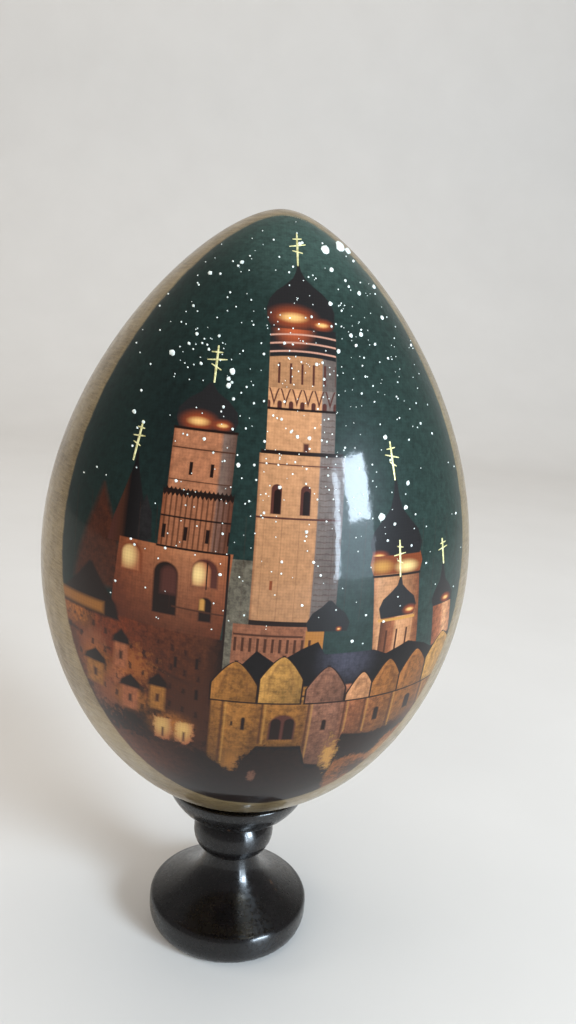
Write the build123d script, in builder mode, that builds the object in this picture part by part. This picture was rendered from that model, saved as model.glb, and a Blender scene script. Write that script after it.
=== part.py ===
"""Souvenir egg with a printed picture, standing on a turned cup stand.

A solid turned wooden egg carries one printed picture, let in flush with its lacquered skin.
The egg stands in the shallow dish of a turned wooden stand and is kept upright by a dowel,
which sits loose in a blind hole in each of them, so the egg turns on its axis and lifts off.

Frame: millimetres, +Z up along the axis of the egg and the stand, origin in the middle of the
stand's underside, and the picture faces -Y, turned a little towards +X.
"""

import os

from build123d import *

os.makedirs("parts", exist_ok=True)

# Egg. The same family of curves also gives the picture's outline and the stand's dish.
egg_radius = 32.5
egg_height = 92.0
egg_base = 24.0
belly_share = 0.445
tip_reach = 0.53
tip_width = 0.305
base_reach = 0.49
base_width = 0.59

# Printed picture: paper and lacquer together, cut to a smaller egg shape
picture_thickness = 0.2
picture_turn = 5.0
picture_radius = 27.6
picture_height = 82.0
picture_base = 33.4

# Stand, from the table up
foot_radius = 13.3
foot_flat_radius = 11.0
foot_side_bottom = 3.0
foot_side_top = 3.8
shoulder_radius = 12.4
shoulder_height = 5.3
neck_radius = 4.3
neck_height = 13.3
bulb_radius = 6.65
bulb_height = 16.8
waist_radius = 5.6
waist_height = 19.5
cup_radius = 11.7
cup_height = 26.0
lip_rounding = 0.35
dish_gap = 0.2

# Where the stand's curves head for on their way from one of those heights to the next
foot_edge_pull = (12.8, 0.1), (13.3, 1.5)
shoulder_pull = (13.3, 4.5), (13.2, 5.1)
trumpet_pull = (8.8, 7.2), (4.4, 8.6)
bulb_pull = (5.4, 13.6), (6.65, 14.7)
waist_pull = (6.65, 18.1), (6.1, 18.8)
cup_pull = (8.5, 20.3), (11.0, 23.1)

# Dowel and its two blind holes
dowel_radius = 2.5
dowel_bottom = 14.4
dowel_top = 36.0
dowel_chamfer = 0.5
hole_clearance = 0.05
hole_end_gap = 0.4


def egg_curve(radius, height, base):
    """One side of an egg's outline, from its lower pole round the belly to its tip."""
    belly = base + belly_share * height
    tip = base + height
    below = belly - base
    above = tip - belly
    Bezier(
        (0, base),
        (base_width * radius, base),
        (radius, belly - base_reach * below),
        (radius, belly),
    )
    Bezier(
        (radius, belly),
        (radius, belly + tip_reach * above),
        (tip_width * radius, tip),
        (0, tip),
    )


def half_egg_face(radius, height, base):
    """The face that makes a whole egg when it is turned about Z."""
    with BuildSketch(Plane.XZ) as half:
        with BuildLine():
            egg_curve(radius, height, base)
            Line((0, base + height), (0, base))
        make_face()
    return half.sketch


# Seat block: all that lies in front of the picture's backing, inside the picture's outline
picture_plane = Plane(
    origin=(0, 0, 0),
    x_dir=Vector(1, 0, 0).rotate(Axis.Z, picture_turn),
    z_dir=Vector(0, -1, 0).rotate(Axis.Z, picture_turn),
)
with BuildPart() as seat_block:
    with BuildSketch(picture_plane):
        with BuildLine():
            egg_curve(picture_radius, picture_height, picture_base)
            mirror(about=Plane.YZ)
        make_face()
    extrude(amount=egg_radius + 1)
    backing_face = half_egg_face(
        egg_radius - picture_thickness,
        egg_height - 2 * picture_thickness,
        egg_base + picture_thickness,
    )
    revolve(backing_face, axis=Axis.Z, mode=Mode.SUBTRACT)

# Picture: the part of the whole egg that the seat block takes away
with BuildPart() as picture_panel:
    revolve(half_egg_face(egg_radius, egg_height, egg_base), axis=Axis.Z)
    add(seat_block.part, mode=Mode.INTERSECT)
picture_panel.part.label = "picture_panel"
export_step(picture_panel.part, "parts/picture_panel.step")

# Egg body: solid wood, with a seat for the picture and a blind hole for the dowel
with BuildPart() as egg_body:
    revolve(half_egg_face(egg_radius, egg_height, egg_base), axis=Axis.Z)
    add(seat_block.part, mode=Mode.SUBTRACT)
    with BuildSketch(Plane.XY.offset(dowel_top + hole_end_gap)):
        Circle(dowel_radius + hole_clearance)
    extrude(amount=-(dowel_top + hole_end_gap - egg_base + 1), mode=Mode.SUBTRACT)
egg_body.part.label = "egg_body"
export_step(egg_body.part, "parts/egg_body.step")

# Dowel: a plain peg with both ends chamfered
with BuildPart() as dowel:
    with BuildSketch(Plane.XY.offset(dowel_bottom)):
        Circle(dowel_radius)
    extrude(amount=dowel_top - dowel_bottom)
    chamfer(dowel.edges().filter_by(GeomType.CIRCLE), length=dowel_chamfer)
dowel.part.label = "dowel"
export_step(dowel.part, "parts/dowel.step")

# Stand: foot with a rounded edge, trumpet, neck, bulb, waist and cup, turned from one piece
with BuildPart() as stand:
    with BuildSketch(Plane.XZ):
        with BuildLine():
            Line((0, 0), (foot_flat_radius, 0))
            Bezier((foot_flat_radius, 0), *foot_edge_pull, (foot_radius, foot_side_bottom))
            Line((foot_radius, foot_side_bottom), (foot_radius, foot_side_top))
            Bezier((foot_radius, foot_side_top), *shoulder_pull, (shoulder_radius, shoulder_height))
            Bezier((shoulder_radius, shoulder_height), *trumpet_pull, (neck_radius, neck_height))
            Bezier((neck_radius, neck_height), *bulb_pull, (bulb_radius, bulb_height))
            Bezier((bulb_radius, bulb_height), *waist_pull, (waist_radius, waist_height))
            Bezier((waist_radius, waist_height), *cup_pull, (cup_radius, cup_height))
            Line((cup_radius, cup_height), (0, cup_height))
            Line((0, cup_height), (0, 0))
        make_face()
    revolve(axis=Axis.Z)
    dish_face = half_egg_face(
        egg_radius + dish_gap,
        egg_height + 2 * dish_gap,
        egg_base - dish_gap,
    )
    revolve(dish_face, axis=Axis.Z, mode=Mode.SUBTRACT)
    lip = stand.edges().filter_by(GeomType.CIRCLE).group_by(Axis.Z)[-1]
    fillet(lip, radius=lip_rounding)
    with BuildSketch(Plane.XY.offset(dowel_bottom - hole_end_gap)):
        Circle(dowel_radius + hole_clearance)
    extrude(amount=cup_height, mode=Mode.SUBTRACT)
stand.part.label = "stand"
export_step(stand.part, "parts/stand.step")
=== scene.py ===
"""The looks of a decorated wooden egg on a turned stand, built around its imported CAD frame.

Every length is in metres unless its name or comment says millimetres. The printed picture is
painted by nodes: each part of it is a function of u, millimetres across the picture, and v,
millimetres above the table, and they are laid over one another from back to front.
"""

import math
import random

import bpy
from mathutils import Matrix, Vector


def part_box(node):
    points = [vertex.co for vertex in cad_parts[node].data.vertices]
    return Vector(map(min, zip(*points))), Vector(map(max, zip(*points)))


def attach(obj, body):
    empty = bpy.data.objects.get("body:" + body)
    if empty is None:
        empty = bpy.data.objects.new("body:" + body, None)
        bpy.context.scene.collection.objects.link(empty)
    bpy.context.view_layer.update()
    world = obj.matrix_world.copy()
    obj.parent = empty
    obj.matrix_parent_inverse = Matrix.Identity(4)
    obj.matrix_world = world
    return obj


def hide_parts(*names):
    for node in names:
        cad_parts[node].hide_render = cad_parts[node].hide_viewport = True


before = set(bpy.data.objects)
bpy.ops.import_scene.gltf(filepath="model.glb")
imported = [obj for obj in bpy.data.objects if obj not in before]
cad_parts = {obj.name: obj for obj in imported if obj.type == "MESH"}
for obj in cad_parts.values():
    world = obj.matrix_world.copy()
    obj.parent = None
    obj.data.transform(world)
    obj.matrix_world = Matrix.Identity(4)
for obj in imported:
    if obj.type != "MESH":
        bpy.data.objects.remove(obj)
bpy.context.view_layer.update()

MM = 0.001
ROUND_SEGMENTS = 256  # once round the egg or the stand

# ------------------------------------------------------------------ sizes, from the frame

egg_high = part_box("egg_body")[1]
stand_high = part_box("stand")[1]
dowel_low, dowel_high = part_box("dowel")
picture_low, picture_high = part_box("picture_panel")

EGG_RADIUS = egg_high.x
EGG_TIP = egg_high.z
EGG_HEIGHT = 92 * MM
EGG_BASE = EGG_TIP - EGG_HEIGHT

# The outline's curves, as shares of the egg's height or of its radius
BELLY_SHARE = 0.445
TIP_REACH = 0.53
TIP_WIDTH = 0.305
BASE_REACH = 0.49
BASE_WIDTH = 0.59

PICTURE_TURN = math.radians(5)
PICTURE_RADIUS = 27.6 * MM
PICTURE_BASE = picture_low.z
PICTURE_HEIGHT = picture_high.z - picture_low.z
PICTURE_LIFT = 0.04 * MM
PICTURE_SINK = 0.12 * MM

COAT_IOR = 1.42

HOLE_RADIUS = 2.55 * MM
HOLE_END_GAP = 0.4 * MM
DISH_GAP = 0.2 * MM

# ------------------------------------------------------------------ node arithmetic


class Field:
    """A value that varies over a surface, held as a node socket. Arithmetic adds math nodes."""

    def __init__(self, tree, socket):
        self.tree = tree
        self.socket = socket

    def __add__(self, other):
        return calc("ADD", self, other)

    def __radd__(self, other):
        return calc("ADD", other, self)

    def __sub__(self, other):
        return calc("SUBTRACT", self, other)

    def __rsub__(self, other):
        return calc("SUBTRACT", other, self)

    def __mul__(self, other):
        return calc("MULTIPLY", self, other)

    def __rmul__(self, other):
        return calc("MULTIPLY", other, self)

    def __truediv__(self, other):
        return calc("DIVIDE", self, other)

    def __abs__(self):
        return calc("ABSOLUTE", self)


def tree_of(*values):
    """The node tree that the given fields live in, or None if they are all plain numbers."""
    return next((value.tree for value in values if isinstance(value, Field)), None)


def feed(tree, socket, value):
    """Links a field to a socket, or sets the socket to a number or a colour."""
    if isinstance(value, Field):
        tree.links.new(value.socket, socket)
    elif isinstance(value, tuple) and len(socket.default_value) == 4:
        socket.default_value = (*value, 1.0)
    else:
        socket.default_value = value


def add_node(tree, kind, output, inputs, **settings):
    """Adds a shader node with its settings and its inputs, and gives back one of its outputs."""
    node = tree.nodes.new("ShaderNode" + kind)
    for name, setting in settings.items():
        setattr(node, name, setting)
    for name, value in inputs.items():
        feed(tree, node.inputs[name], value)
    return Field(tree, node.outputs[output])


def calc(operation, *values):
    """One math node."""
    return add_node(tree_of(*values), "Math", 0, dict(enumerate(values)), operation=operation)


def mix(share, below, above, held=True):
    """The colour above over the colour below, as far as share says, from 0 to 1 if it is held."""
    tree = tree_of(share, below, above)
    if tree is None:
        return tuple(a + (b - a) * share for a, b in zip(below, above))
    inputs = {0: share, 6: below, 7: above}
    return add_node(tree, "Mix", 2, inputs, data_type="RGBA", clamp_factor=held)


def dim(colour, factor):
    """A colour made darker or lighter by a factor."""
    return mix(factor, (0.0, 0.0, 0.0), colour, held=False)


def ramp(place, stops):
    """A colour that changes with place, from stops of (place, colour)."""
    tree = place.tree
    low, high = stops[0][0], stops[-1][0]
    node = tree.nodes.new("ShaderNodeValToRGB")
    elements = node.color_ramp.elements
    while len(elements) < len(stops):
        elements.new(0.5)
    for element, (at, colour) in zip(elements, stops):
        element.position = (at - low) / (high - low)
        element.color = (*colour, 1.0)
    feed(tree, node.inputs["Fac"], (place - low) * (1 / (high - low)))
    return Field(tree, node.outputs["Color"])


def curve(place, points):
    """A number that changes with place in straight runs, from points of (place, number)."""
    tree = place.tree
    low, high = points[0][0], points[-1][0]
    top = max(number for _, number in points)
    node = tree.nodes.new("ShaderNodeFloatCurve")
    line = node.mapping.curves[0]
    while len(line.points) < len(points):
        line.points.new(0.5, 0.5)
    for point, (at, number) in zip(line.points, points):
        point.location = ((at - low) / (high - low), number / top)
        point.handle_type = "VECTOR"
    node.mapping.update()
    feed(tree, node.inputs["Value"], (place - low) * (1 / (high - low)))
    return Field(tree, node.outputs[0]) * top


# ------------------------------------------------------------------ shapes in the picture

EDGE = 0.1  # how soft a printed edge is, in millimetres
SCREEN_PITCH = 0.17  # from one printing dot to the next, in millimetres
ROSETTE_PITCH = 0.52  # across the coarser pattern that the overlapping screens make


def paint(red, green, blue):
    """A paint colour, given as it looks from 0 to 255, as linear light."""
    return tuple((level / 255) ** 2.2 for level in (red, green, blue))


def larger(a, b):
    return calc("MAXIMUM", a, b)


def smaller(a, b):
    return calc("MINIMUM", a, b)


def root(a):
    return calc("SQRT", a)


def repeat(place, pitch):
    """Folds a place into one pitch about zero, so that what is drawn there repeats."""
    return calc("WRAP", place, pitch / 2, -pitch / 2)


def box(x, y, left, right, low, high):
    """Distance to a box, below zero inside it."""
    across = abs(x - (left + right) / 2) - (right - left) / 2
    along = abs(y - (low + high) / 2) - (high - low) / 2
    return larger(across, along)


def arch(x, y, middle, width, low, high):
    """Distance to a round-headed opening, below zero inside it."""
    half = width / 2
    side = x - middle
    rise = larger(y - (high - half), 0.0)
    return larger(root(side * side + rise * rise) - half, low - y)


def turned(x, y, silhouette):
    """Distance to a shape that is as wide on both sides of x = 0 as silhouette says at each height."""
    beyond = larger(silhouette[0][0] - y, y - silhouette[-1][0])
    return larger(abs(x) - curve(y, silhouette), beyond)


def line(place, at, width):
    """Distance to a thin straight line."""
    return abs(place - at) - width / 2


def held(value):
    """A value kept between 0 and 1."""
    return smaller(larger(value, 0.0), 1.0)


def over(under, colour, distance, soft=EDGE):
    """Paints colour over what is under it, inside a shape."""
    return mix(calc("MULTIPLY_ADD", distance, -1 / soft, 0.5), under, colour)


def stripe(under, colour, along, at, width, across, reach, soft=EDGE):
    """Paints a thin straight stripe at a place along, with a reach to both sides across."""
    return over(under, colour, larger(line(along, at, width), abs(across) - reach), soft)


def glaze(under, colour, strength, distance, soft=EDGE):
    """Tints what is under it, inside a shape."""
    return over(under, mix(strength, under, colour), distance, soft)


def spot(x, y, at_x, at_y, wide, high):
    """A round glow that fades from 1 in its middle to 0 at its rim."""
    across = (x - at_x) * (1 / wide)
    along = (y - at_y) * (1 / high)
    share = larger(1.0 - (across * across + along * along), 0.0)
    return share * share


def patch(under, colour, strength, place, at_x, at_y, wide, high):
    """Tints a ragged round patch. The place is its x, its y and the stain that frays its edge."""
    x, y, stain = place
    across = (x - at_x) * (1 / wide)
    along = (y - at_y) * (1 / high)
    edge = root(across * across + along * along) - 1.0 + (stain - 0.5) * 1.8
    return glaze(under, colour, strength, edge, 1.0)


# ------------------------------------------------------------------ the picture, back to front

NIGHT = paint(23, 41, 38)
DUSK = paint(48, 64, 58)
INK = paint(20, 16, 17)
PLUM = paint(39, 37, 37)
MAROON = paint(84, 46, 38)
EMBER = paint(255, 150, 70)
LAMP = paint(255, 214, 140)
PEACH = paint(240, 170, 118)
SALMON = paint(206, 140, 94)
CLAY = paint(176, 104, 68)
RUST = paint(130, 66, 38)
UMBER = paint(74, 42, 28)
SOOT = paint(35, 21, 16)
STONE = paint(150, 132, 122)
OCHRE = paint(170, 110, 52)
STRAW = paint(200, 142, 72)
MAUVE = paint(142, 94, 72)
HONEY = paint(162, 100, 50)


def paint_sky(u, v, stain, under):
    """Night sky, lighter and greener towards the top and the right. It hides all under it."""
    sky = mix(u * 0.016 + 0.42, NIGHT, DUSK)
    sky = mix(spot(u, v, 5, 112, 20, 12) * 0.6, sky, paint(70, 92, 84))
    sky = mix(spot(u, v, -13, 86, 8, 16) * 0.55, sky, paint(16, 24, 25))
    return dim(sky, stain * 0.9 + 0.55)


def paint_spires(u, v, stain, under):
    """A dark pointed spire and the lower roofs behind the left end of the wall."""
    back = turned(u + 21.6, v, [(66, 3.4), (70, 2.8), (74, 1.6), (78.4, 0)])
    out = over(under, dim(mix(0.3, SOOT, RUST), stain + 0.4), back, 0.8)
    lean = u + 17.9 - (v - 76) * 0.05
    spire = turned(lean, v, [(72, 2.6), (75, 2.1), (78, 1.2), (81.5, 0.25), (83, 0.1)])
    faces = ramp(lean, [(-2.4, MAROON), (-1.2, UMBER), (-0.4, INK), (2.4, PLUM)])
    out = over(out, faces, spire)
    turret = turned(u + 16.1, v, [(73, 0.9), (76.2, 0.75), (77.4, 0.3), (78.3, 0)])
    return over(out, dim(PLUM, stain + 0.5), turret)


def paint_dome(x, y, under, silhouette, glows):
    """An onion dome: near black, with the warm floodlights mirrored low on its skin."""
    shape = turned(x, y, silhouette)
    skin = PLUM
    for at_x, at_y, wide, high in glows:
        skin = mix(spot(x, y, at_x, at_y, wide * 1.7, high * 2.2), skin, paint(168, 74, 38))
        skin = mix(spot(x, y, at_x, at_y, wide, high * 0.9), skin, paint(255, 196, 118))
    return over(under, skin, shape)


def paint_short_tower(u, v, stain, under):
    """The shorter tower: a plain storey over two storeys of close ribs, leaning a little."""
    x = u + 9.9 - (v - 80) * 0.055
    out = paint_dome(
        x,
        v,
        under,
        [(86.4, 3.2), (87.6, 3.7), (88.8, 3.5), (90, 2.4), (90.9, 1), (92, 0.15)],
        [(-1, 87.4, 1.7, 0.75), (1.9, 87.2, 0.9, 0.4)],
    )
    brick = paint(178, 114, 80)
    shade = paint(122, 98, 86)
    light = ramp(x, [(-4.4, RUST), (-3.3, brick), (1.9, brick), (2.3, shade), (4.4, UMBER)])
    storey = over(out, dim(light, stain * 0.7 + 0.62), box(x, v, -3.75, 3.75, 79.4, 86.4))
    storey = stripe(storey, UMBER, v, 84.2, 0.16, x, 3.7)
    storey = stripe(storey, UMBER, v, 80.5, 0.12, x, 3.7)
    slots = box(repeat(x + 1.25, 2.5), v, -0.2, 0.2, 81.2, 82.7)
    storey = over(storey, SOOT, larger(slots, abs(x) - 3.3))
    ribbed = dim(mix(0.3, light, RUST), stain * 0.5 + 0.7)
    ribbed = glaze(ribbed, UMBER, 0.75, abs(repeat(x, 0.62)) - 0.1, 0.12)
    ribbed = over(ribbed, SOOT, box(repeat(x + 1, 2.6), v, -0.22, 0.22, 73.6, 75.2))
    out = over(storey, ribbed, box(x, v, -4.15, 4.15, 72.4, 79))
    teeth = abs(repeat(x, 0.5)) * 1.6
    out = stripe(out, SOOT, v - teeth, 78.9, 0.75, x, 4.2)
    out = stripe(out, SOOT, v, 76.2, 0.2, x, 4.15)
    return stripe(out, SOOT, v, 86.45, 0.3, x, 3.85)


def paint_belfry(u, v, stain, under):
    """A wide belfry wall with deep arches, and the shaded strip between it and the tall tower."""
    strip = box(u, v, -5.9, -2.9, 57, 72.2)
    rubble = mix(stain, paint(58, 50, 40), paint(128, 118, 100))
    out = over(under, rubble, strip)
    wall = box(u + (v - 67) * -0.08, v, -19.6, -5.9, 61.5, 72.7)
    pale = paint(196, 128, 88)
    lit = ramp(u, [(-20, RUST), (-17, CLAY), (-11, pale), (-5.9, CLAY)])
    fall = held((v - 57) * 0.058)
    lit = mix(fall, paint(150, 66, 36), lit)
    out = over(out, dim(dim(lit, fall), stain * 0.5 + 0.7), wall)
    out = over(out, RUST, arch(u, v, -17.5, 2.7, 68.8, 72.3), 0.4)
    glow = mix(spot(u, v, -17.9, 70.7, 1.5, 2.2), CLAY, LAMP)
    out = over(out, glow, arch(u, v, -17.6, 2.2, 69, 72), 0.3)
    out = over(out, MAROON, arch(u, v, -8.6, 3.1, 68.4, 71.8), 0.3)
    glow = mix(spot(u, v, -9.4, 69.9, 1.3, 2), CLAY, LAMP)
    out = over(out, glow, arch(u, v, -9, 2.1, 68.5, 71.4), 0.3)
    out = over(out, SOOT, line(u, -8.35, 0.16) + larger(abs(v - 69.8) - 1.6, 0))
    for colour, middle, width, low, high, soft in (
        (SOOT, -13.2, 2.9, 64.4, 70.8, 0.25), (MAROON, -12.8, 1.9, 67, 70.3, 0.6),
        (SOOT, -8.3, 1.5, 64.2, 67.2, 0.25), (STRAW, -8.7, 0.6, 65.6, 67, 0.25),
    ):
        out = over(out, colour, arch(u, v, middle, width, low, high), soft)
    cornice = v + u * 0.045
    out = stripe(out, SOOT, cornice, 61.4, 0.35, u + 14.9, 9, 0.15)
    out = stripe(out, UMBER, cornice, 65, 0.2, u + 9.1, 3.2, 0.15)
    out = stripe(out, SOOT, v, 72.6, 0.25, u + 10.2, 4.4)
    return over(out, SOOT, larger(line(u, -5.9, 0.3), abs(v - 65) - 7.6))


def paint_tall_tower(u, v, stain, under):
    """The tall tower: two smooth storeys, a band of small gables, a drum with slots, an onion dome."""
    x = u - 1.75
    face = [(-5, CLAY), (-4.5, PEACH), (2.35, PEACH), (2.5, STONE), (5.6, paint(122, 106, 98))]
    light = ramp(x, face)
    fall = held(v * 0.0095 - 0.11)
    walls = dim(dim(light, fall), stain * 0.5 + 0.71)
    out = over(under, walls, box(x, v, -4.85, 5.6, 65, 84.6))
    out = over(out, walls, box(x, v, -4.15, 4.2, 84.6, 92.2))
    out = over(out, dim(walls, 0.66), box(x, v, -4.15, 4.2, 92.2, 96.2))
    joints = larger(line(repeat(x - 0.35, 2.1), 0, 0.06), abs(v - 71.2) - 6)
    out = glaze(out, UMBER, 0.35, joints)
    courses = larger(line(repeat(v + stain * 0.3, 0.7), 0, 0.1), box(x, v, 2.6, 5.5, 65.2, 89.4))
    out = glaze(out, UMBER, 0.6, larger(courses, x - 4.1 - larger(84.4 - v, 0) * 9))
    for middle in (-2.6, 0.9):
        out = over(out, MAROON, arch(x, v, middle, 1.25, 77.8, 81.2))
        out = over(out, SOOT, arch(x, v, middle + 0.12, 0.8, 77.8, 80.6))
    out = over(out, RUST, box(x, v, -2.75, -2.4, 68.9, 70))
    out = stripe(out, SOOT, v, 84.8, 0.45, x - 0.3, 5)
    out = stripe(out, MAROON, v, 83.45, 0.14, x - 0.3, 5.2)
    out = stripe(out, MAROON, v, 77.35, 0.22, x - 0.3, 5.2)
    out = over(out, MAROON, box(x, v, 0.3, 1, 85, 86), 0.3)
    scallop = repeat(x, 1.38)
    sweep = larger(92.2 - v, 0) * 0.42
    gables = abs(abs(scallop) - (root(sweep) * 0.45 + sweep * 0.4)) - 0.09
    gables = smaller(gables, arch(scallop, v, 0, 0.55, 89.8, 90.7))
    out = over(out, MAROON, larger(gables, box(x, v, -4.15, 4.2, 89.8, 92.1)))
    out = stripe(out, SOOT, v, 89.75, 0.28, x, 4.2)
    slots = box(repeat(x + 0.1, 1.42), v, -0.13, 0.13, 92.7, 95.1)
    out = over(out, MAROON, larger(slots, abs(x) - 4.1))
    bowed = v + x * x * 0.018
    rings = abs(repeat(bowed - 98.6, 1)) - 0.1
    band = mix(spot(x, v, -1.2, 99.6, 3.2, 3.4), PLUM, paint(196, 92, 52))
    band = over(band, paint(206, 150, 126), larger(rings, line(bowed, 97.6, 2.3)))
    out = over(out, band, box(x, bowed, -4.15, 4.15, 96, 99.6))
    return paint_dome(
        x + 0.2 - (v - 99) * -0.06,
        v,
        out,
        [
            (99.2, 3.9), (100.2, 4.3), (101.6, 4.35), (102.8, 3.9), (103.8, 3), (104.7, 1.8),
            (105.6, 0.8), (106.6, 0.3), (107.8, 0.1),
        ],
        [(-1.1, 100.6, 2.3, 0.9), (2.6, 99.95, 1.1, 0.45)],
    )


def paint_small_dome(u, v, stain, under):
    """The tower's low podium, with a small dark dome in front of its right end."""
    podium = dim(mix(0.12, CLAY, STONE), stain * 0.5 + 0.38)
    out = over(under, podium, box(u, v, -4.9, 5.5, 58, 64.5))
    out = stripe(out, SOOT, v, 64.8, 0.6, u - 0.4, 3.5)
    out = stripe(out, UMBER, v, 63.2, 0.25, u + 0.6, 4.2)
    out = over(out, OCHRE, box(u, v, 3.9, 6.2, 61, 64))
    slots = box(repeat(u, 0.9), v, -0.16, 0.16, 61, 62.8)
    out = over(out, UMBER, larger(slots, abs(u) - 4.8))
    dome = [(63.9, 2.5), (65, 2.75), (66.2, 2.1), (67, 1), (67.8, 0.2)]
    return paint_dome(u - 6.6, v, out, dome, [(1.4, 64.2, 0.3, 0.2)])


def paint_church(u, v, stain, under):
    """The church on the right: a lit drum and collar, a tall dark onion, a smaller dome before it."""
    x = u - 15.4 + (v - 70) * 0.09
    light = ramp(x, [(-3.6, CLAY), (-2.6, PEACH), (0.8, SALMON), (3.6, RUST)])
    out = over(under, dim(light, stain * 0.5 + 0.43), box(x, v, -3.3, 3.3, 60, 73.2))
    out = stripe(out, SOOT, v, 70.5, 0.3, x, 3.5)
    collar = turned(x, v, [(70.7, 3.4), (72, 3.8), (73.2, 3.5)])
    warm = mix(spot(x, v, -2.2, 71.7, 2.2, 1.2), RUST, STRAW)
    warm = mix(spot(x, v, 1.4, 71.5, 2.2, 1.1), warm, LAMP)
    out = over(out, warm, collar)
    onion = [
        (73, 3.4), (74.4, 3.8), (76, 3.2), (77.3, 2), (78.6, 0.9), (80, 0.45),
        (82.4, 0.12),
    ]
    out = paint_dome(x, v, out, onion, [(-2.6, 73, 1, 0.4)])
    near = u - 15.9
    drum = ramp(near, [(-2.4, UMBER), (-0.4, CLAY), (0.1, PEACH), (2.4, SALMON)])
    out = over(out, dim(drum, stain * 0.5 + 0.52), box(near, v, -2.3, 2.5, 59, 65.2))
    slots = box(repeat(near - 0.2, 1.5), v, -0.14, 0.14, 60.4, 63.4)
    out = over(out, UMBER, larger(slots, abs(near) - 2.2))
    small = [(65.1, 2.4), (66.4, 2.75), (67.5, 2.3), (68.4, 1.2), (69.2, 0.4), (70.4, 0.1)]
    out = paint_dome(near, v, out, small, [(1.8, 65.8, 0.8, 0.4)])
    return stripe(out, STRAW, v, 64.8, 0.35, near, 2.7)


def paint_far_tower(u, v, stain, under):
    """A last small tower near the picture's right edge."""
    x = u - 23.6 + (v - 64) * 0.12
    light = ramp(x, [(-1.9, RUST), (-0.2, CLAY), (0.4, PEACH), (1.9, CLAY)])
    out = over(under, dim(light, stain + 0.35), box(x, v, -1.7, 1.7, 58, 65.6))
    dome = [(65.3, 1.8), (66.4, 2), (67.6, 1.4), (68.6, 0.6), (70, 0.25), (71.2, 0.05)]
    return paint_dome(x, v, out, dome, [(0.6, 66, 0.7, 0.4)])


def paint_roofs(u, v, stain, under):
    """Dark roofs behind the row of gables, with a cold sheen in their middle."""
    skyline = [
        (-6, 56), (-3.4, 59.3), (-1.8, 61.2), (0.6, 59.6), (3.6, 61.6), (5.6, 62.6),
        (6.6, 60.9), (13.2, 61), (15, 60.2), (18.2, 61.4), (21, 60.4), (22.4, 59.4),
        (26, 60.6), (29, 58),
    ]
    slate = mix(spot(u, v, 9.6, 60, 5, 4.5), INK, paint(66, 64, 74))
    return over(under, dim(slate, stain + 0.5), v - curve(u, skyline))


def paint_gable(u, v, stain, under, middle, half, peak, colour):
    """One round gable with a pointed peak, a dark rim and a shaded recess."""
    drop = larger(peak - v, 0) * (1 / 3.1)
    x = abs(u - middle)
    bow = root(smaller(drop, 1) * (2 - smaller(drop, 1)))
    width = (bow * 0.36 + drop * 0.64) * half
    shape = larger(x - smaller(width, half), v - peak)
    shape = larger(shape, 54 - v)
    out = over(under, SOOT, shape - 0.22, 0.15)
    fall = (middle - u) * 0.09 + (v - peak) * 0.05 + 0.9
    out = over(out, dim(dim(colour, fall), stain * 1.1 + 0.46), shape)
    inner = larger(x - smaller(width, half) * 0.62, v - peak + 0.9)
    recess = mix(0.45, colour, UMBER)
    out = over(out, dim(recess, stain * 0.9 + 0.36), larger(inner, 55.4 - v), 0.3)
    return over(out, dim(dim(colour, fall), stain * 1.1 + 0.4), larger(inner + 0.3, 55.4 - v), 0.4)


def paint_row(u, v, stain, under):
    """The row of gabled bays across the front, with piers, a string course and windows."""
    warmth = ramp(
        u,
        [
            (-7, OCHRE), (5, OCHRE), (6, MAUVE), (9.6, MAUVE), (10.8, CLAY), (17, HONEY),
            (22, HONEY), (27, STRAW),
        ],
    )
    foot = curve(
        u,
        [
            (-7, 44.5), (-4.6, 42.8), (-2.2, 44), (-0.6, 47), (5.2, 47), (6.2, 43.5),
            (9.8, 42.6), (10.6, 48.4), (13.5, 47.8), (17.5, 47), (21, 48.6), (27, 50),
        ],
    )
    fade = held((v - foot) * 0.055 + 0.42)
    wall = dim(dim(warmth, fade), stain * 1.2 + 0.34)
    edges = larger(larger(-6.7 - u, u - 27.5), larger(foot - v, v - 56.4))
    out = over(under, wall, edges, 0.3)
    for at in (-5.3, -0.4, 5.5, 10.3, 13.1, 17.1, 22):
        # A pier, the shade on its left and the light on its right
        for beside, width, colour, strength, soft in (
            (0, 0.3, UMBER, 0.85, 0.25), (-0.75, 1.1, UMBER, 0.3, 0.9), (0.42, 0.2, STRAW, 0.5, 0.2),
        ):
            post = larger(line(u, at + beside, width), larger(foot + 0.4 - v, v - 55.2))
            out = glaze(out, colour, strength, post, soft)
    course = v - larger(u - 10, 0) * 0.08
    string = larger(line(course, 55.05, 0.22), abs(u - 10) - 16)
    out = over(out, SOOT, string, 0.15)
    ledge = larger(line(course, 54.65, 0.3), abs(u - 10) - 16)
    out = glaze(out, STRAW, 0.5, ledge, 0.2)
    for middle, width, low, high in (
        (-2.6, 0.5, 49.6, 51.6), (7.8, 0.6, 49.5, 51.2), (15.1, 0.75, 49.8, 52),
        (20, 0.9, 50.2, 52.6), (24.4, 0.9, 51, 53.2), (-4, 0.3, 50.2, 50.9),
    ):
        out = over(out, SOOT, arch(u, v, middle, width, low, high), 0.2)
    out = over(out, MAROON, arch(u, v, 2.4, 3.4, 48.2, 52.2), 0.3)
    for middle in (1.55, 3.25):
        out = over(out, SOOT, arch(u, v, middle, 1.3, 48.2, 51.6), 0.2)
    return out


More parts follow.
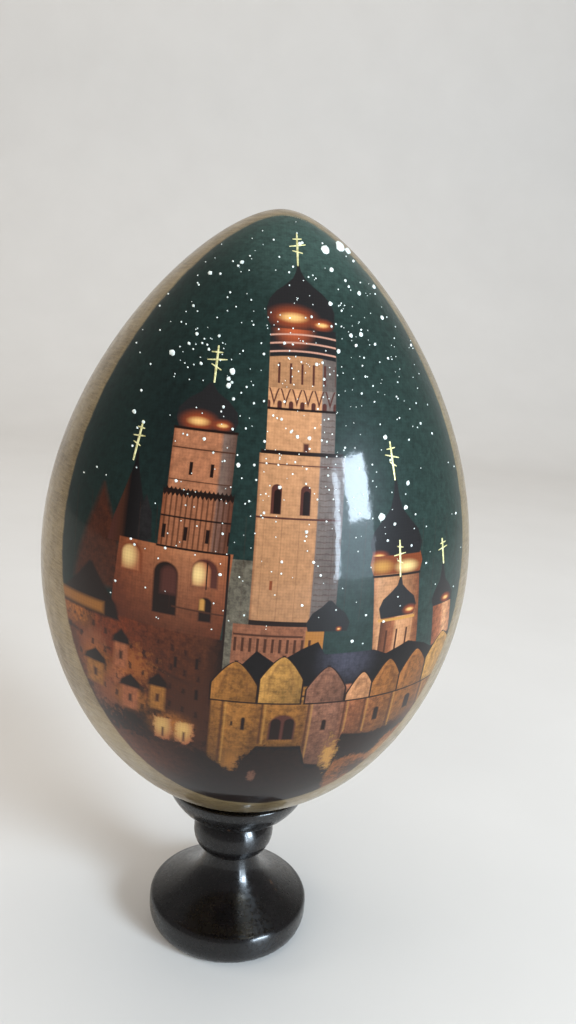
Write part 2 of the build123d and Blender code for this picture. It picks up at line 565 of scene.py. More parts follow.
def paint_gables(u, v, stain, under):
    """The gables over the row, each painted over the ones before it."""
    out = under
    for middle, half, peak, colour in (
        (12.2, 1.95, 57.9, SALMON), (7.4, 2.5, 59.1, MAUVE), (15.8, 2.1, 59.2, HONEY),
        (20, 2.2, 59.7, HONEY), (24.5, 2.5, 60.8, STRAW), (-4.1, 2.75, 59.5, OCHRE),
        (1.6, 2.6, 60.5, STRAW),
    ):
        out = paint_gable(u, v, stain, out, middle, half, peak, colour)
    return out


def paint_houses(u, v, stain, under):
    """Small gabled houses below the belfry, and two lit fronts at its foot."""
    out = under
    for middle, low, wide, wall in (
        (-18.3, 55.6, 1.7, CLAY), (-21.7, 51.6, 2.3, OCHRE), (-16.9, 49.6, 2.1, CLAY),
        (-13.4, 50.8, 1.9, OCHRE),
    ):
        front = box(u, v, middle - wide / 2, middle + wide / 2, low, low + 3.8)
        out = over(out, dim(wall, stain * 0.8 + 0.55), front, 0.5)
        eaves = low + 3.5
        hood = turned(u - middle, v, [(eaves, wide * 0.7), (eaves + 0.8, wide * 0.6), (eaves + 2, 0)])
        out = over(out, SOOT, hood, 0.4)
        out = over(out, UMBER, box(u, v, middle - 0.2, middle + 0.25, low + 1.2, low + 2.4), 0.3)
    for middle, low in ((-12.5, 46), (-9.8, 45.9)):
        glow = mix(spot(u, v, middle - 0.2, low + 2.4, 1.8, 2.8), CLAY, paint(230, 180, 106))
        front = box(u, v, middle - 1.1, middle + 1.1, low, low + 3.6)
        out = over(out, glow, front + (stain - 0.5) * 0.9, 0.4)
        out = over(out, MAROON, box(u, v, middle - 0.12, middle + 0.16, low + 0.4, low + 2), 0.3)
    for middle, low in ((-8.8, 57.8), (-8.6, 53.4), (-11.4, 57.6)):
        out = over(out, SOOT, box(u, v, middle - 0.2, middle + 0.2, low, low + 1.5), 0.2)
    return out


def paint_old_town(u, v, stain, under):
    """Walls and roofs below the belfry, lit from the street, with small houses before them."""
    golden = paint(108, 54, 24)
    warmth = ramp(
        u,
        [
            (-28, golden), (-24.6, golden), (-23.8, RUST), (-18, paint(120, 54, 26)),
            (-14.6, paint(98, 48, 26)), (-8, paint(82, 44, 26)), (-5.9, SOOT),
        ],
    )
    fall = held(v * 0.05 - 2.05)
    walls = dim(dim(warmth, fall), stain * 1.2 + 0.35)
    out = over(under, walls, larger(v - 61.9 + u * 0.045, u + 5.9), 0.2)
    for low, slope, left, right in (
        (57.4, -0.34, -15, -9.6), (53.6, -0.42, -21.6, -15.2), (59, -0.2, -26, -19.6),
    ):
        eaves = line(v - (u - left) * slope, low, 0.2 + stain * 0.3)
        out = glaze(out, SOOT, 0.75, larger(eaves, larger(left - u, u - right)), 0.3)
    place = (u, v, stain)
    for colour, strength, at_u, at_v, wide, high in (
        (UMBER, 0.85, -9.4, 50.6, 3.6, 5.6), (SOOT, 0.85, -16.6, 49.4, 2.6, 3.2),
        (SOOT, 0.8, -13.8, 48.6, 2.2, 2), (SOOT, 0.85, -19.4, 47.6, 3, 2),
        (STRAW, 0.5, -17, 52.4, 0.8, 0.9), (CLAY, 0.7, -18.8, 54.2, 1.4, 1.2),
        (SOOT, 0.7, -23.1, 60.2, 1.1, 1.5), (SOOT, 0.7, -22.6, 51, 1.6, 1),
        (CLAY, 0.6, -22.2, 58, 1.6, 1.7), (EMBER, 0.3, -16.8, 56.4, 2.2, 2.2),
        (CLAY, 0.6, -19.8, 51.4, 1.9, 2.6), (SOOT, 0.8, -20.9, 54.9, 1, 1.7),
    ):
        out = patch(out, colour, strength, place, at_u, at_v, wide, high)
    for at_u, at_v, wide, high in (
        (-24.6, 61.2, 3.4, 2.6), (-21.6, 55.2, 3, 3.6), (-16.6, 51.4, 3.4, 2.8),
        (-11.6, 48.6, 4, 3),
    ):
        out = mix(spot(u, v, at_u, at_v, wide, high) * stain * 0.9, out, paint(226, 138, 62))
    panes = box(repeat(u, 1.7), repeat(v + u * 0.3, 2.7), -0.18, 0.2, -0.45, 0.4)
    panes = larger(panes, box(u, v, -26, -7, 47.5, 61))
    out = glaze(out, SOOT, 0.75, panes + (0.55 - stain) * 0.5, 0.2)
    roof = turned(u + 22.8, v, [(62, 4.2), (64, 3.6), (66, 2), (68.6, 0.2)])
    out = over(out, SOOT, roof, 0.4)
    out = over(out, OCHRE, box(u, v, -27, -20.8, 62.4, 63.8), 0.6)
    return paint_houses(u, v, stain, out)


def paint_ground(u, v, stain, under):
    """Dark trees and ground along the bottom, lit warm on the left, and a lit slope on the right."""
    rim = curve(
        u,
        [
            (-29, 45.4), (-15, 45.2), (-7, 45), (-4, 42.2), (-1.8, 45.4), (0, 46.6),
            (5, 46.6), (6.4, 42.4), (10, 42.6), (10.8, 48.4), (15, 47.4), (18, 48.4),
            (23, 50), (29, 51),
        ],
    )
    ground = mix(spot(u, v, -21, 41, 15, 9) * 1.3, SOOT, paint(104, 54, 30))
    ground = mix(spot(u, v, 23, 50, 9, 4), ground, paint(104, 62, 38))
    ragged = (stain - 0.5) * 2.4
    out = over(under, dim(ground, stain + 0.45), v - rim - ragged, 0.6)
    crest = curve(
        u,
        [
            (9.6, 40), (10.6, 43.2), (13.5, 43.6), (16, 42.8), (18, 45.8), (21, 47),
            (24, 46.2), (29, 44),
        ],
    )
    slope = mix(spot(u, v, 19, 42, 4, 3.4), paint(134, 78, 40), paint(188, 134, 78))
    slope = dim(slope, stain * 0.9 + 0.45)
    out = over(out, slope, larger(larger(v - crest, 9.8 - u), crest - v - 7.5) - ragged * 0.4, 0.7)
    place = (u, v, stain)
    out = patch(out, STRAW, 0.8, place, 9.4, 44.6, 0.9, 2.3)
    out = patch(out, OCHRE, 0.7, place, -3.6, 43.8, 0.8, 1.4)
    out = patch(out, MAUVE, 0.6, place, -0.6, 41.2, 0.5, 0.8)
    return patch(out, SOOT, 0.8, place, 14, 40.2, 2.6, 1.6)


def paint_picture(u, v, stain, grain):
    """The whole printed picture at u across and v up, in millimetres."""
    colour = NIGHT
    for layer in (
        paint_sky, paint_spires, paint_short_tower, paint_belfry, paint_tall_tower,
        paint_small_dome, paint_church, paint_far_tower, paint_roofs, paint_old_town,
        paint_row, paint_gables, paint_ground,
    ):
        colour = add_layer(layer, u, v, stain, colour)
    return dim(colour, grain)


# ------------------------------------------------------------------ outlines and meshes


def bezier(p0, p1, p2, p3, count):
    """Points along a cubic curve, without its last one."""
    points = []
    for step in range(count):
        t = step / count
        s = 1 - t
        weights = (s**3, 3 * s * s * t, 3 * s * t * t, t**3)
        points.append(
            tuple(sum(w * p[axis] for w, p in zip(weights, (p0, p1, p2, p3))) for axis in (0, 1))
        )
    return points


def egg_outline(radius, height, base, count):
    """One side of an egg's outline from its lower pole to its tip, as (radius, height) points."""
    belly = base + BELLY_SHARE * height
    tip = base + height
    lower = bezier(
        (0, base),
        (BASE_WIDTH * radius, base),
        (radius, belly - BASE_REACH * (belly - base)),
        (radius, belly),
        count,
    )
    upper = bezier(
        (radius, belly),
        (radius, belly + TIP_REACH * (tip - belly)),
        (TIP_WIDTH * radius, tip),
        (0, tip),
        count,
    )
    return lower + upper + [(0, tip)]


EGG_SIDE = egg_outline(EGG_RADIUS, EGG_HEIGHT, EGG_BASE, 1200)


def egg_radius_at(z):
    """The egg's radius at a height, from its outline."""
    low, high = 0, len(EGG_SIDE) - 1
    while high - low > 1:
        middle = (low + high) // 2
        if EGG_SIDE[middle][1] > z:
            high = middle
        else:
            low = middle
    (r0, z0), (r1, z1) = EGG_SIDE[low], EGG_SIDE[high]
    share = min(max((z - z0) / max(z1 - z0, 1e-12), 0.0), 1.0)
    return r0 + (r1 - r0) * share


def egg_point(u, v, lift=0.0):
    """The point of the egg's skin at u across the picture and v up, with its outward normal."""
    radius = max(egg_radius_at(v), 1e-6)
    side = min(max(u / radius, -1.0), 1.0)
    depth = math.sqrt(1 - side * side)
    slope = (egg_radius_at(v + 0.05 * MM) - egg_radius_at(v - 0.05 * MM)) / (0.1 * MM)
    normal = Vector((side, -depth, -slope)).normalized()
    point = Vector((u, -depth * radius, v)) + normal * lift
    turn = Matrix.Rotation(PICTURE_TURN, 3, "Z")
    return turn @ point, turn @ normal


def make_object(name, vertices, faces, sharp_degrees=None):
    """A smooth-shaded mesh object, with the edges sharper than an angle left crisp."""
    mesh = bpy.data.meshes.new(name)
    mesh.from_pydata([tuple(v) for v in vertices], [], faces)
    mesh.shade_smooth()
    if sharp_degrees:
        mesh.set_sharp_from_angle(angle=math.radians(sharp_degrees))
    mesh.validate()
    piece = bpy.data.objects.new(name, mesh)
    bpy.context.scene.collection.objects.link(piece)
    return piece


def lathe(name, outline, segments, sharp_degrees=None):
    """Turns an outline of (radius, height) points about Z; points on the axis become poles."""
    vertices = []
    rings = []
    for radius, height in outline:
        if radius < 1e-7:
            rings.append([len(vertices)] * segments)
            vertices.append((0, 0, height))
            continue
        rings.append(list(range(len(vertices), len(vertices) + segments)))
        for step in range(segments):
            angle = 2 * math.pi * step / segments
            vertices.append((radius * math.cos(angle), radius * math.sin(angle), height))
    faces = []
    for below, above in zip(rings, rings[1:]):
        for step in range(segments):
            after = (step + 1) % segments
            corners = (below[step], below[after], above[after], above[step])
            faces.append(tuple(dict.fromkeys(corners)))
    return make_object(name, vertices, faces, sharp_degrees)


def make_egg():
    """The whole egg, with the blind hole for the dowel in its base."""
    side = egg_outline(EGG_RADIUS, EGG_HEIGHT, EGG_BASE, 110)
    skin = [point for point in side if point[0] > HOLE_RADIUS or point[1] > stand_high.z]
    mouth = next(z for r, z in EGG_SIDE if r >= HOLE_RADIUS)
    hole_top = dowel_high.z + HOLE_END_GAP
    hole = [(0, hole_top), (HOLE_RADIUS, hole_top), (HOLE_RADIUS, mouth)]
    return lathe("egg", hole + skin, ROUND_SEGMENTS, sharp_degrees=35)


def picture_outline(count):
    """The picture's rim, once round, as (u, v) points."""
    right = egg_outline(PICTURE_RADIUS, PICTURE_HEIGHT, PICTURE_BASE, count)
    left = [(-u, v) for u, v in reversed(right[1:-1])]
    return right + left


def make_picture():
    """The printed sheet: a thin closed skin on the egg, thinning out towards its rim."""
    rim = picture_outline(90)
    middle = PICTURE_BASE + BELLY_SHARE * PICTURE_HEIGHT
    rings = 72
    vertices = []
    shares = []
    faces = []
    for front in (True, False):
        for ring in range(1, rings + 1):
            share = ring / rings
            taper = min(1.0, (1 - share) * 14)  # thinner only in the outermost fourteenth
            lift = PICTURE_LIFT * taper if front else -PICTURE_SINK
            for u, v in rim:
                point, _ = egg_point(u * share, middle + (v - middle) * share, lift)
                vertices.append(point)
                shares.append(share)
    size = len(rim)
    back = rings * size
    for layer, offset in ((0, 0), (1, back)):
        for ring in range(rings - 1):
            for step in range(size):
                after = (step + 1) % size
                inner = offset + ring * size
                outer = inner + size
                quad = (inner + step, outer + step, outer + after, inner + after)
                faces.append(quad if layer == 0 else quad[::-1])
        centre, _ = egg_point(0.0, middle, PICTURE_LIFT if layer == 0 else -PICTURE_SINK)
        vertices.append(centre)
        shares.append(0.0)
        hub = len(vertices) - 1
        for step in range(size):
            fan = (hub, offset + step, offset + (step + 1) % size)
            faces.append(fan if layer == 0 else fan[::-1])
    edge = (rings - 1) * size
    for step in range(size):
        after = (step + 1) % size
        faces.append((edge + step, back + edge + step, back + edge + after, edge + after))
    picture = make_object("picture", vertices, faces, sharp_degrees=60)
    rim_share = picture.data.attributes.new("rim", "FLOAT", "POINT")
    rim_share.data.foreach_set("value", shares)
    return picture


def add_stroke(vertices, faces, path, widths, height):
    """One raised brush stroke along a path of (u, v) points, closed underneath."""
    across = (-1.0, -0.55, 0.0, 0.55, 1.0)
    domes = (-0.4, 0.75, 1.0, 0.75, -0.4)
    rows = []
    for index, ((u, v), width) in enumerate(zip(path, widths)):
        before = path[max(index - 1, 0)]
        after = path[min(index + 1, len(path) - 1)]
        along = Vector((after[0] - before[0], after[1] - before[1])).normalized()
        side = Vector((along.y, -along.x))
        row = []
        for offset, dome in zip(across, domes):
            at = Vector((u, v)) + side * offset * width / 2
            point, _ = egg_point(at.x, at.y, PICTURE_LIFT + height * dome)
            row.append(len(vertices))
            vertices.append(point)
        rows.append(row)
    for row, after in zip(rows, rows[1:]):
        for k in range(len(row) - 1):
            faces.append((row[k], row[k + 1], after[k + 1], after[k]))
        faces.append((row[-1], row[0], after[0], after[-1]))
    faces.append(tuple(reversed(rows[0])))
    faces.append(tuple(rows[-1]))


def stroke_path(start, end, count):
    """Evenly spaced points from start to end."""
    return [
        (start[0] + (end[0] - start[0]) * k / count, start[1] + (end[1] - start[1]) * k / count)
        for k in range(count + 1)
    ]


def make_crosses():
    """Crosses painted by hand in gold over the domes: an upright and two or three bars each."""
    vertices = []
    faces = []
    # u and v of the foot, height and lean, in millimetres, and the width of each bar
    crosses = (
        (1.0, 107.2, 4.6, 0.0, (1.2, 2.2, 1.4)),
        (-8.9, 92.0, 4.4, 0.3, (1.4, 2.4, 1.2)),
        (-18.1, 81.8, 4.8, 0.9, (0.9, 1.5, 0.9)),
        (14.2, 82.0, 4.6, -0.9, (1.2, 2.0, 1.0)),
        (15.8, 70.2, 4.6, -0.5, (0.9, 1.7, 0.9)),
        (22.9, 70.8, 3.4, -0.6, (1.0, 1.6)),
    )
    brush = 0.23  # width of the brush, in millimetres
    relief = 0.05 * MM
    top_bar, bar_step = 0.82, 0.2  # up the cross, as shares of its height
    low_bar_tilt = 0.18
    draw = random.Random(5)
    for foot_u, foot_v, height, lean, bars in crosses:
        foot = (foot_u * MM, foot_v * MM)
        top = ((foot_u + lean) * MM, (foot_v + height) * MM)
        upright = stroke_path(foot, top, 10)
        widths = [(brush + 0.1 * math.sin(math.pi * k / 10)) * MM for k in range(11)]
        add_stroke(vertices, faces, upright, widths, relief)
        for index, bar in enumerate(bars):
            share = top_bar - bar_step * index
            middle_u = foot_u + lean * share + draw.uniform(-0.05, 0.05)
            middle_v = foot_v + height * share
            tilt = draw.uniform(-0.12, 0.12) - (low_bar_tilt if index == 2 else 0.0)
            start = ((middle_u - bar / 2) * MM, (middle_v - tilt * bar) * MM)
            end = ((middle_u + bar / 2) * MM, (middle_v + tilt * bar) * MM)
            arm = stroke_path(start, end, 6)
            widths = [brush * MM * (1.1 - abs(k - 3) / 6) for k in range(7)]
            add_stroke(vertices, faces, arm, widths, relief)
    return make_object("painted_crosses", vertices, faces, sharp_degrees=70)


def add_dab(vertices, faces, u, v, radius, draw):
    """One dab of thick white paint: a low uneven dome, closed underneath."""
    sides = 10
    height = 0.03 * MM + radius * 0.16
    wobble = [draw.uniform(0.82, 1.15) for _ in range(sides)]
    first = len(vertices)
    for share, rise in ((1.05, -0.05 * MM), (0.95, height * 0.35), (0.55, height * 0.9)):
        for step in range(sides):
            angle = 2 * math.pi * step / sides
            reach = radius * share * wobble[step]
            at = (u + reach * math.cos(angle), v + reach * math.sin(angle))
            vertices.append(egg_point(at[0], at[1], PICTURE_LIFT + rise)[0])
    vertices.append(egg_point(u, v, PICTURE_LIFT + height)[0])
    top = len(vertices) - 1
    for ring in range(2):
        for step in range(sides):
            a = first + ring * sides + step
            b = first + ring * sides + (step + 1) % sides
            faces.append((a, b, b + sides, a + sides))
    for step in range(sides):
        faces.append((first + 2 * sides + step, first + 2 * sides + (step + 1) % sides, top))
    faces.append(tuple(first + step for step in reversed(range(sides))))


def inside_picture(u, v, margin):
    """Whether a place lies in the picture, at least margin from its rim."""
    outline = egg_outline(PICTURE_RADIUS, PICTURE_HEIGHT, PICTURE_BASE, 60)
    if not outline[0][1] + margin < v < outline[-1][1] - margin:
        return False
    nearest = min(outline, key=lambda point: abs(point[1] - v))
    return abs(u) < nearest[0] - margin


def make_snow():
    """Falling snow, dabbed on by hand: many fine specks and a few large flakes."""
    vertices = []
    faces = []
    draw = random.Random(11)
    # Large flakes: u, v and radius in millimetres
    flakes = (
        (4.9, 110.0, 0.62), (7.4, 111.0, 0.75), (8.6, 110.6, 0.5), (5.6, 107.3, 0.3),
        (-14.3, 95.0, 0.38), (-6.8, 93.5, 0.38), (-7.2, 91.8, 0.32), (12.5, 77.7, 0.5),
        (15.9, 78.7, 0.28), (16.1, 81.6, 0.3), (-18.5, 87.4, 0.26), (9.5, 104.6, 0.3),
        (-10.2, 105.4, 0.28),
    )
    for u, v, radius in flakes:
        add_dab(vertices, faces, u * MM, v * MM, radius * MM, draw)
    specks = 520
    smallest, largest = 0.055 * MM, 0.3 * MM
    margin = 0.8 * MM
    count = 0
    while count < specks:
        u = draw.gauss(2.0, 12.0) * MM
        v = draw.triangular(60.0, 115.0, 98.0) * MM
        radius = smallest + draw.expovariate(1 / 0.05) * MM
        if radius > largest or not inside_picture(u, v, margin):
            continue
        add_dab(vertices, faces, u, v, radius, draw)
        count += 1
    return make_object("snow_dabs", vertices, faces, sharp_degrees=80)


def make_stand():
    """The turned stand, smooth where the lathe left it smooth and crisp at its steps."""
    scale = stand_high.z / 26.0  # metres of height to each millimetre of the outline below
    # Radius and height of each point in millimetres, as in the CAD stand
    underside = (11.0, 0.0)
    foot_low = (13.3, 3.0)
    foot_high = (13.3, 3.8)
    shoulder = (12.4, 5.3)
    neck = (4.3, 13.3)
    bulb = (6.65, 16.8)
    waist = (5.6, 19.5)
    cup = (11.68, 25.65)
    lip = (11.35, 26.0)
    side = [(0.0, 0.0), (10.7, 0.0)]
    side += bezier(underside, (12.8, 0.1), (13.3, 1.5), foot_low, 14) + [foot_low]
    side += bezier(foot_high, (13.3, 4.5), (13.2, 5.1), shoulder, 12)
    side += bezier(shoulder, (8.8, 7.2), (4.4, 8.6), neck, 44)
    side += bezier(neck, (5.4, 13.6), (6.65, 14.7), bulb, 28)
    side += bezier(bulb, (6.65, 18.1), (6.1, 18.8), waist, 20)
    side += bezier(waist, (8.5, 20.3), (11.0, 23.1), cup, 34)
    side += bezier(cup, (11.74, 25.88), (11.6, 26.0), lip, 6)
    side += [lip, (10.98, 26.0)]
    outline = [(r * scale, z * scale) for r, z in side]
    high = EGG_HEIGHT + 2 * DISH_GAP
    dish = egg_outline(EGG_RADIUS + DISH_GAP, high, EGG_BASE - DISH_GAP, 160)
    dish = [(r, z) for r, z in dish if HOLE_RADIUS < r and z < stand_high.z - 0.02 * MM]
    outline += list(reversed(dish))
    hole_low = dowel_low.z - HOLE_END_GAP
    outline += [(HOLE_RADIUS, dish[0][1]), (HOLE_RADIUS, hole_low), (0, hole_low)]
    return lathe("turned_stand", outline, ROUND_SEGMENTS, sharp_degrees=24)


def make_dowel():
    """The peg: plain, with both ends chamfered."""
    radius = dowel_high.x
    cut = 0.5 * MM
    low, high = dowel_low.z, dowel_high.z
    outline = [
        (0, low), (radius - cut, low), (radius, low + cut), (radius, high - cut),
        (radius - cut, high), (0, high),
    ]
    return lathe("peg", outline, 96, sharp_degrees=30)


# ------------------------------------------------------------------ materials


def new_material(name):
    """A node material, with its tree and its Principled shader."""
    material = bpy.data.materials.new(name)
    material.use_nodes = True
    tree = material.node_tree
    return material, tree, tree.nodes["Principled BSDF"]


def object_place(tree):
    """Where a point is on its own object, in millimetres."""
    place = add_node(tree, "TexCoord", "Object", {})
    return add_node(tree, "VectorMath", 0, {0: place, "Scale": 1 / MM}, operation="SCALE")


def stretched(place, x, y, z):
    """A place with each axis scaled on its own, so that a texture on it is drawn out."""
    return add_node(place.tree, "VectorMath", 0, {0: place, 1: (x, y, z)}, operation="MULTIPLY")


def noise(place, scale, detail=3.0, roughness=0.55):
    """Cloudy variation about 0.5."""
    inputs = {"Vector": place, "Scale": scale, "Detail": detail, "Roughness": roughness}
    return add_node(place.tree, "TexNoise", "Fac", inputs)


def spread(value, low, high, to_low=0.0, to_high=1.0):
    """A value stretched from one range to another and held there."""
    inputs = {"Value": value, "From Min": low, "From Max": high, "To Min": to_low, "To Max": to_high}
    return add_node(value.tree, "MapRange", 0, inputs)


def bump(height, distance_mm, strength=1.0):
    """A surface normal that follows a height between 0 and 1."""
    inputs = {"Distance": distance_mm * MM, "Strength": strength, "Height": height}
    return add_node(height.tree, "Bump", 0, inputs)


def put(shader, **values):
    """Sets or links a shader's sockets, with _ for each space in their names."""
    for name, value in values.items():
        feed(shader.id_data, shader.inputs[name.replace("_", " ")], value)


def lacquer(shader, roughness=0.07, weight=0.5, shine=0.1):
    """A clear gloss coat over a shader, which itself shines as little as shine says."""
    put(shader, Coat_Weight=weight, Coat_Roughness=roughness, Coat_IOR=COAT_IOR)
    put(shader, Specular_IOR_Level=shine)


def lacquer_waves(place):
    """The normal of lacquer that has dried a little uneven."""
    return bump(noise(place, 0.33, 3.0, 0.6), 0.035, 0.8)


def split(place):
    """The three parts of a place."""
    node = place.tree.nodes.new("ShaderNodeSeparateXYZ")
    feed(place.tree, node.inputs[0], place)
    return [Field(place.tree, output) for output in node.outputs]


def bronze_colour(place):
    """Bronze-gold paint: brush streaks round the egg, cloudy cover and fine metal flake."""
    streaks = noise(stretched(place, 0.35, 0.35, 3.2), 1.1, 4.0)
    clouds = noise(place, 0.09, 4.0)
    tone = spread(streaks * 0.45 + clouds * 0.55, 0.36, 0.66)
    colour = mix(tone, paint(114, 95, 63), paint(166, 146, 108))
    flake = spread(noise(place, 7.0, 2.0), 0.6, 0.72)
    return mix(flake * 0.5, colour, paint(206, 188, 146))


def gold_lacquer():
    """The egg's back and border."""
    material, tree, shader = new_material("gold_lacquer")
    place = object_place(tree)
    worn = spread(noise(place, 0.6, 4.0), 0.35, 0.7, 0.3, 0.46)
    put(shader, Base_Color=bronze_colour(place), Roughness=worn, Metallic=0.7)
    streaks = noise(stretched(place, 0.3, 0.3, 2.4), 1.0, 4.0)
    put(shader, Normal=bump(streaks, 0.03, 0.5), Coat_Normal=lacquer_waves(place))
    lacquer(shader)
    return material


def add_layer(layer, u, v, stain, colour):
    """Lays one part of the picture over the rest, in a node group named after it."""
    if isinstance(colour, Field):
        # A nudge of a micrometre by the colour below makes the renderer finish that layer
        # first. Worked out side by side, the layers are more than its shader stack can hold.
        nudge = colour * 0.001
        u, v = u + nudge, v + nudge
    tree = bpy.data.node_groups.new(layer.__name__, "ShaderNodeTree")
    for name, kind in (("u", "Float"), ("v", "Float"), ("stain", "Float"), ("under", "Color")):
        tree.interface.new_socket(name, in_out="INPUT", socket_type="NodeSocket" + kind)
    tree.interface.new_socket("over", in_out="OUTPUT", socket_type="NodeSocketColor")
    entry = tree.nodes.new("NodeGroupInput")
    result = layer(*(Field(tree, output) for output in entry.outputs[:4]))
    leave = tree.nodes.new("NodeGroupOutput")
    feed(tree, leave.inputs[0], result)
    group = u.tree.nodes.new("ShaderNodeGroup")
    group.node_tree = tree
    for socket, value in zip(group.inputs, (u, v, stain, colour)):
        feed(u.tree, socket, value)
    return Field(u.tree, group.outputs[0])


def dots(u, v, pitch):
    """Rows of printing dots at 45 degrees, from -1 between them to 1 in their middles."""
    wave = 2 * math.pi / (pitch * math.sqrt(2))
    return calc("SINE", (u + v) * wave) * calc("SINE", (u - v) * wave)


def printed_picture():
    """The print under its lacquer: the picture, its printing dots, and gold brushed over its rim."""
    material, tree, shader = new_material("printed_picture")
    place = object_place(tree)
    x, y, v = split(place)
    u = x * math.cos(PICTURE_TURN) + y * math.sin(PICTURE_TURN)
    stain = noise(place, 1.3, 5.0, 0.65) * 2.2 - 0.6
    mean, screen, rosette = 0.58, 0.14, 0.045  # how bright the print is, and how its dots vary it
    grain = dots(u, v, SCREEN_PITCH) * screen + dots(u, v, ROSETTE_PITCH) * rosette + mean
    colour = paint_picture(u, v, stain, grain)
    rim = add_node(tree, "Attribute", "Fac", {}, attribute_name="rim")
    share = rim + noise(place, 0.5, 3.0) * 0.012
    border = spread(share, 0.986, 0.995)
    put(shader, Base_Color=mix(border, colour, bronze_colour(place)), Metallic=border * 0.7)
    put(shader, Roughness=0.42, Coat_Normal=lacquer_waves(place))
    lacquer(shader)
    return material


def black_lacquer():
    """Near-black gloss lacquer over turned wood, with faint tool rings, dust and rubbed edges."""
    material, tree, shader = new_material("black_lacquer")
    place = object_place(tree)
    clouds = noise(place, 0.5, 5.0)
    colour = mix(spread(clouds, 0.35, 0.7), paint(6, 5, 7), paint(16, 13, 14))
    dust = spread(noise(place, 4.0, 3.0), 0.68, 0.8)
    colour = mix(dust * 0.2, colour, paint(120, 112, 104))
    edges = add_node(tree, "NewGeometry", "Pointiness", {})
    worn = spread(edges, 0.55, 0.62) * spread(clouds, 0.45, 0.6)
    colour = mix(worn * 0.5, colour, paint(86, 60, 40))
    patchy = spread(noise(place, 1.5, 4.0), 0.3, 0.7, 0.2, 0.38)
    put(shader, Base_Color=colour, Roughness=patchy)
    rings = noise(stretched(place, 0.02, 0.02, 4.0), 1.0, 3.0)
    put(shader, Normal=bump(rings, 0.015, 0.4))
    put(shader, Coat_Normal=bump(noise(place, 0.4, 2.0), 0.02, 0.5))
    lacquer(shader, roughness=0.1, weight=0.45, shine=0.36)
    # The fine rings of the turning draw highlights out up and down the stand
    around = add_node(tree, "Tangent", 0, {}, direction_type="RADIAL", axis="Z")
    put(shader, Tangent=around, Anisotropic=0.85, Anisotropic_Rotation=0.25)
    return material


def bare_wood():
    """Pale turned hardwood, with its grain along the peg."""
    material, tree, shader = new_material("bare_wood")
    place = object_place(tree)
    grain = noise(stretched(place, 2.4, 2.4, 0.12), 1.0, 5.0, 0.6)
    pores = noise(stretched(place, 9.0, 9.0, 0.8), 1.0, 2.0)
    colour = mix(spread(grain, 0.35, 0.65), paint(186, 142, 92), paint(222, 186, 136))
    colour = mix(spread(pores, 0.6, 0.7) * 0.5, colour, paint(128, 88, 52))
    relief = bump(grain + pores * 0.5, 0.05, 0.6)
    put(shader, Base_Color=colour, Roughness=0.62, Normal=relief)
    return material


def brushed_paint(name, dark, light, metallic, roughness):
    """Hand-painted strokes and dabs, uneven in tone, under the same lacquer."""
    material, tree, shader = new_material(name)
    place = object_place(tree)
    tone = spread(noise(place, 2.2, 3.0), 0.35, 0.65)
    put(shader, Base_Color=mix(tone, dark, light), Metallic=metallic, Roughness=roughness)
    put(shader, Normal=bump(noise(place, 6.0, 2.0), 0.02, 0.5))
    lacquer(shader)
    return material


def floor_material():
    """A plain pale table top."""
    material, tree, shader = new_material("studio_floor")
    place = object_place(tree)
    tone = noise(place, 0.02, 3.0)
    colour = mix(tone, paint(188, 184, 179), paint(196, 192, 187))
    put(shader, Base_Color=colour, Roughness=0.6)
    return material


# ------------------------------------------------------------------ the pieces and what they ride on


def finish_piece(piece, material, body, slot, *nodes):
    """Gives a piece its material and its body, and hides the CAD nodes it stands for. The slot is not
    used.
    """
    piece.data.materials.append(material)
    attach(piece, body)
    if nodes:
        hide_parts(*nodes)


finish_piece(make_stand(), black_lacquer(), "stand", "black_lacquer", "stand")
finish_piece(make_dowel(), bare_wood(), "dowel", "bare_wood", "dowel")
finish_piece(make_egg(), gold_lacquer(), "egg", "gold_lacquer", "egg_body")
finish_piece(make_picture(), printed_picture(), "egg", "printed_picture", "picture_panel")
snow_white = brushed_paint("snow_white", paint(178, 186, 180), paint(222, 226, 218), 0.0, 0.45)
finish_piece(make_snow(), snow_white, "egg", "printed_picture")
cross_gold = brushed_paint("cross_gold", paint(168, 160, 104), paint(224, 216, 162), 0.3, 0.4)
finish_piece(make_crosses(), cross_gold, "egg", "gold_lacquer")


# ------------------------------------------------------------------ floor, light and camera


def make_floor():
    """A level floor that curves up into a backdrop well behind the object."""
    half, front, start, bend, top = 1.2, -1.0, 0.55, 0.35, 1.6
    side = [(front, 0.0), (start, 0.0)]
    side += [
        (start + bend * math.sin(a), bend - bend * math.cos(a))
        for a in (math.pi / 2 * k / 16 for k in range(1, 17))
    ]
    side += [(start + bend, top)]
    vertices = [(x, y, z) for y, z in side for x in (-half, half)]
    faces = [(2 * k, 2 * k + 1, 2 * k + 3, 2 * k + 2) for k in range(len(side) - 1)]
    floor = make_object("studio_floor", vertices, faces)
    floor.data.materials.append(floor_material())


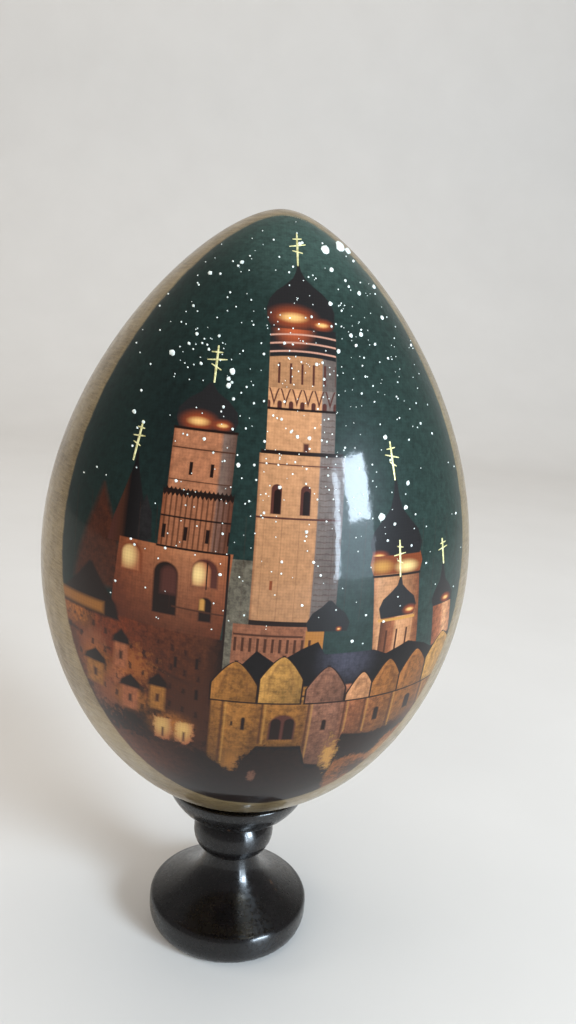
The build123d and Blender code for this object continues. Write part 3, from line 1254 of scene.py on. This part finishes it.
def add_light(name, position, width, height, power, colour, mirrored):
    """A soft rectangular light that faces the egg, and that the lacquer mirrors or does not."""
    light = bpy.data.lights.new(name, "AREA")
    light.shape = "RECTANGLE"
    light.size = width
    light.size_y = height
    light.energy = power
    light.color = colour
    lamp = bpy.data.objects.new(name, light)
    lamp.location = position
    lamp.visible_glossy = mirrored
    lamp.visible_camera = False
    egg_middle = Vector((0.0, 0.0, 0.08))
    aim = egg_middle - Vector(position)
    lamp.rotation_euler = aim.to_track_quat("-Z", "Y").to_euler()
    bpy.context.scene.collection.objects.link(lamp)


def light_scene():
    """A bright window in front on the right with its dimmer curtain, and broad pale surfaces."""
    cool = (0.7, 0.85, 1.0)
    warm = (1.0, 0.97, 0.93)
    # Name, place, width and height in metres, power in watts, colour, and whether it is mirrored
    add_light("window", (0.55, -0.43, 0.33), 0.16, 0.23, 6.6, cool, True)
    add_light("pane", (0.45, -0.54, 0.21), 0.032, 0.4, 1.8, cool, True)
    add_light("curtain", (0.56, -0.47, 0.22), 0.25, 0.5, 3.2, cool, True)
    add_light("wall", (-1.15, 0.05, 0.75), 0.6, 0.6, 4.6, warm, False)
    add_light("ceiling", (0.05, 0.15, 1.15), 1.1, 1.1, 8.6, warm, False)
    add_light("room_side", (-0.6, -0.9, 0.7), 1.2, 1.2, 6.9, warm, False)
    world = bpy.data.worlds.new("room")
    bpy.context.scene.world = world
    world.use_nodes = True
    background = world.node_tree.nodes["Background"]
    background.inputs["Color"].default_value = (0.92, 0.9, 0.88, 1.0)
    background.inputs["Strength"].default_value = 0.3


def place_camera():
    """The view: close, a little above, tipped down, turned and rolled slightly."""
    distance, height = 0.1262, 0.0985
    pitch, pan, roll = math.radians(12.03), math.radians(1.98), math.radians(5.2)
    forward = Vector(
        (math.sin(pan) * math.cos(pitch), math.cos(pan) * math.cos(pitch), -math.sin(pitch))
    )
    level = Vector((math.cos(pan), -math.sin(pan), 0.0))
    upward = level.cross(forward)
    right = math.cos(roll) * level + math.sin(roll) * upward
    up = -math.sin(roll) * level + math.cos(roll) * upward
    camera = bpy.data.cameras.new("camera")
    camera.sensor_width = 36.0
    camera.lens = 29.18
    camera.clip_start = 0.01
    holder = bpy.data.objects.new("camera", camera)
    turn = Matrix((right, up, -forward)).transposed().to_4x4()
    holder.matrix_world = Matrix.Translation((0.0, -distance, height)) @ turn
    bpy.context.scene.collection.objects.link(holder)
    bpy.context.scene.camera = holder


make_floor()
light_scene()
place_camera()
bpy.context.scene.view_settings.view_transform = "Standard"
